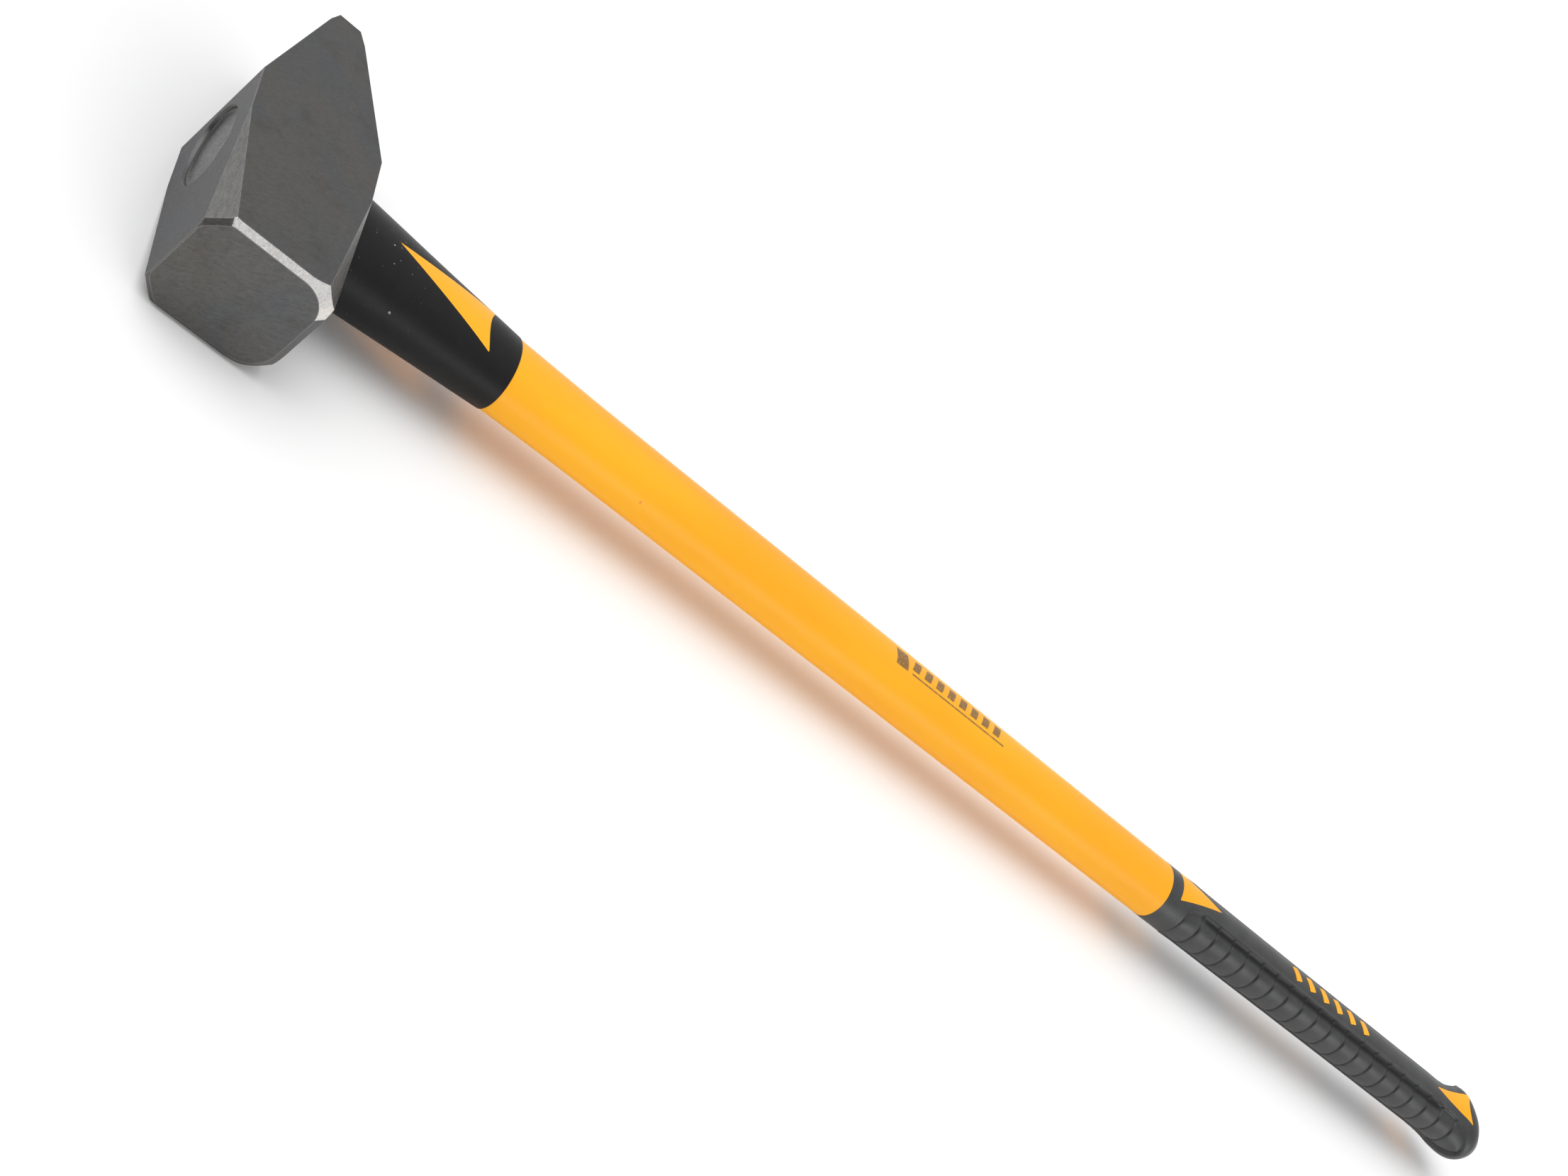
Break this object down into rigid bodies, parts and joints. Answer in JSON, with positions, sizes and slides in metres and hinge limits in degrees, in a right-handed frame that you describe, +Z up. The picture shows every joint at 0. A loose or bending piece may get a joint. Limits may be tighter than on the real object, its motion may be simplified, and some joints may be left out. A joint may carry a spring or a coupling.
{
  "type": "sledgehammer",
  "caption": "Two-handed cross-pein sledgehammer: forged head with a wedge pein, bonded to a fibreglass-cored handle with rubber neck sleeve and ribbed grip.",
  "frame": {"origin": "on the lower cheek of the head, under the centre of the eye; the hammer lies on that cheek", "axes": "+X along the handle from the head to the butt, +Y from the striking face to the pein, +Z up from the lower cheek"},
  "size_m": [0.8928, 0.184, 0.0562],
  "materials": {
    "forged_steel": "ground and oiled",
    "glass_fibre": "matte",
    "eye_resin": "satin",
    "seal_foam": "matte",
    "yellow_jacket": "satin",
    "neck_rubber": "matte",
    "grip_rubber": "matte"
  },
  "bodies": {
    "root": {"hammer_head": "forged_steel", "core_rod": "glass_fibre", "eye_resin": "eye_resin", "eye_seal": "seal_foam", "handle_jacket": "yellow_jacket", "neck_sleeve": "neck_rubber", "grip_sleeve": "grip_rubber"}
  },
  "joints": []
}
